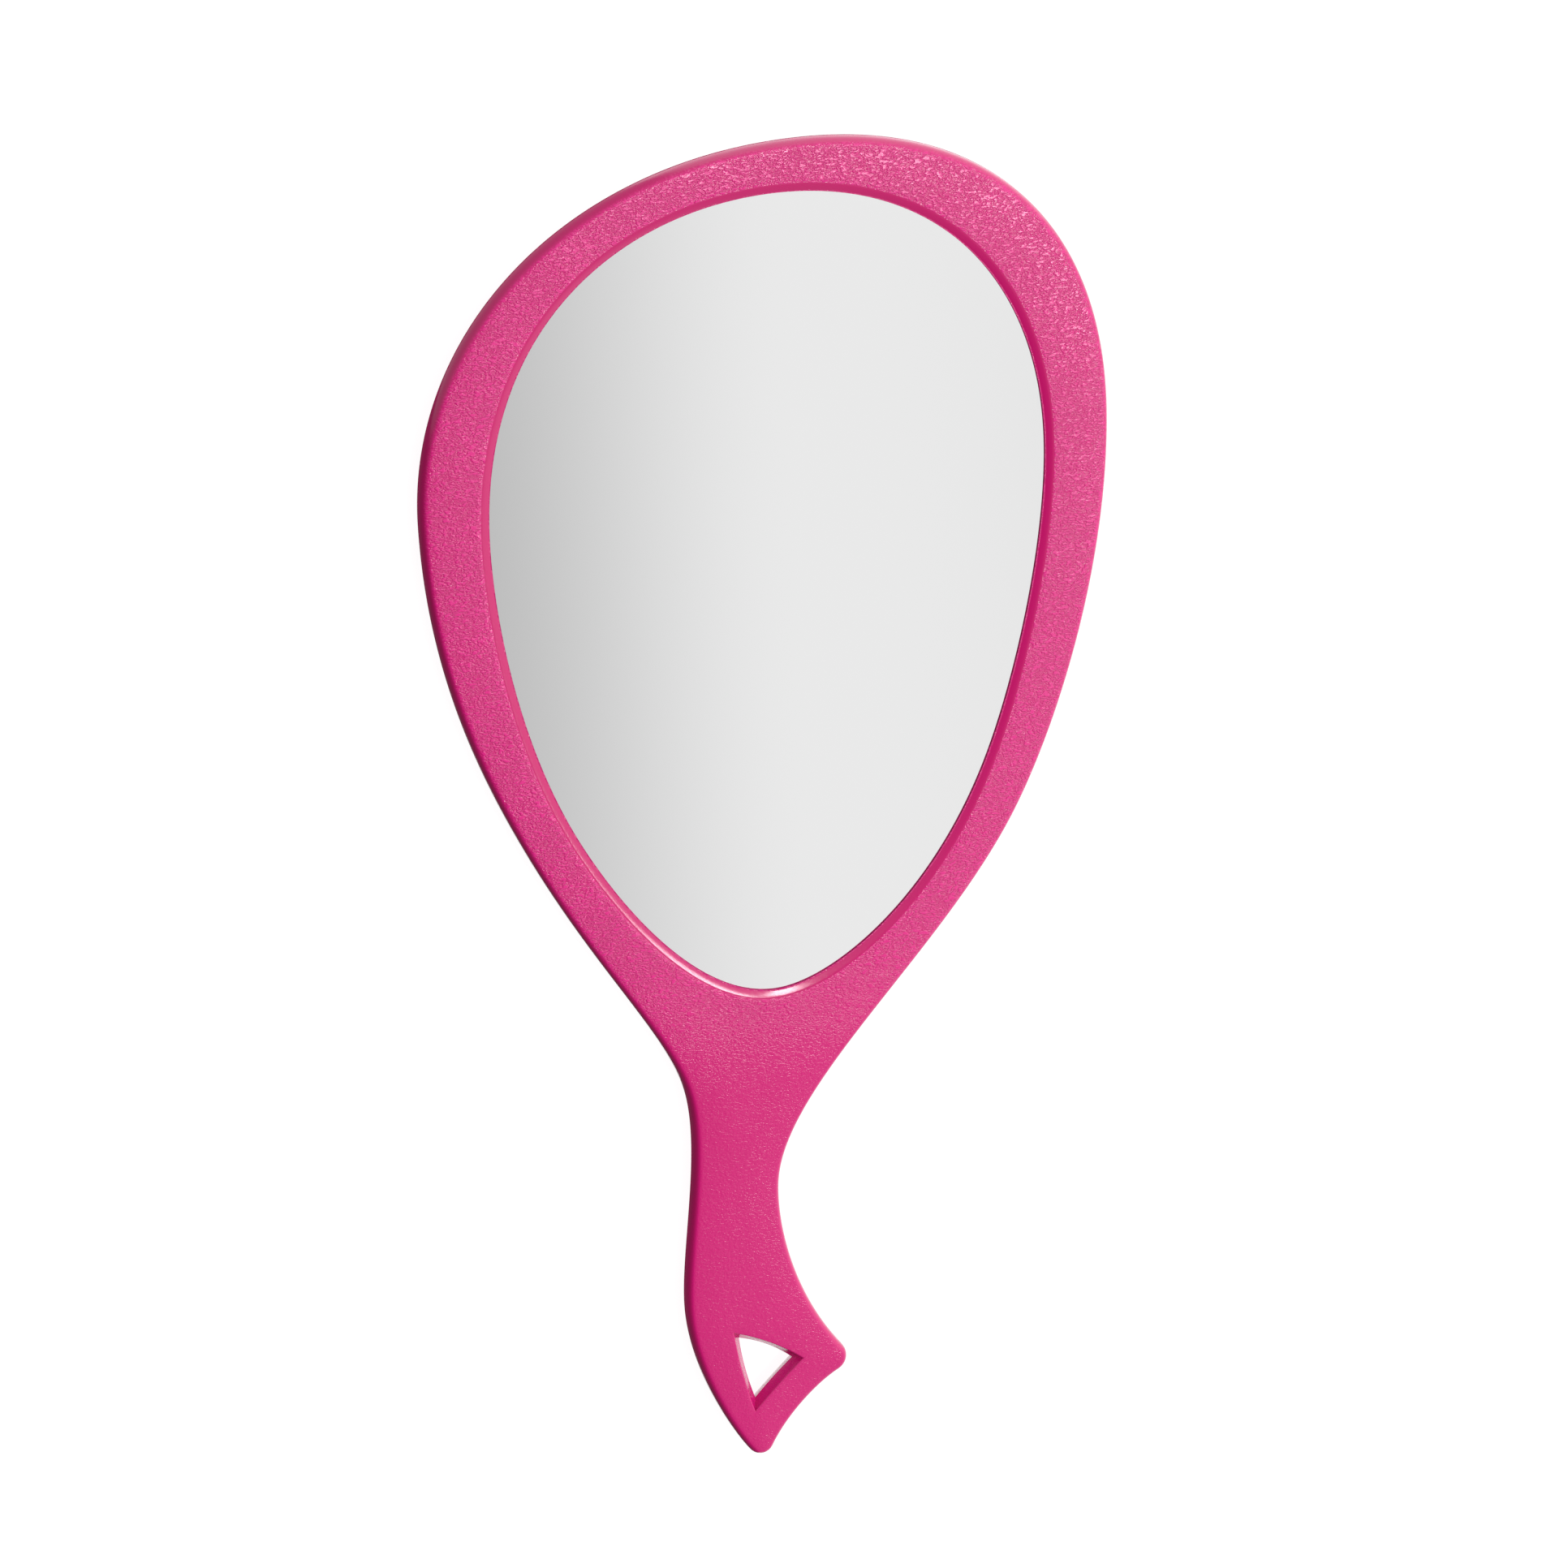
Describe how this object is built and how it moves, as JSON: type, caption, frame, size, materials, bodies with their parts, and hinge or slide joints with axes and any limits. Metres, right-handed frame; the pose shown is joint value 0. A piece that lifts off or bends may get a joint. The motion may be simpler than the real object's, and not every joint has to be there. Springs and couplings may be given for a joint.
{
  "type": "hand mirror",
  "caption": "Teardrop salon hand mirror with a wide moulded rim, a slim grip and a fish-tail end with a three-cornered hanging hole.",
  "frame": {"origin": "under the middle of the outline, on the surface that the mirror lies on", "axes": "+X across the glass, +Y along the mirror from the handle to the top of the head, +Z out of the glass"},
  "size_m": [0.149, 0.3, 0.006],
  "materials": {
    "pink_plastic_front": "hot pink moulded plastic, fine leather grain, smooth bevelled lip",
    "pink_plastic_back": "hot pink moulded plastic, fine leather grain",
    "clear_glass": "polished clear float glass with seamed edges",
    "silvering": "mirror silver behind the glass",
    "backing_film": "translucent white polymer film",
    "foam_tape": "white closed-cell foam with adhesive on both faces"
  },
  "bodies": {
    "root": {"front_frame": "pink_plastic_front", "rear_cover": "pink_plastic_back", "mirror_glass": "clear_glass", "silver_coating": "silvering", "safety_film": "backing_film", "foam_tape_1": "foam_tape", "foam_tape_2": "foam_tape", "foam_tape_3": "foam_tape", "foam_tape_4": "foam_tape", "foam_tape_5": "foam_tape", "foam_tape_6": "foam_tape"}
  },
  "joints": []
}
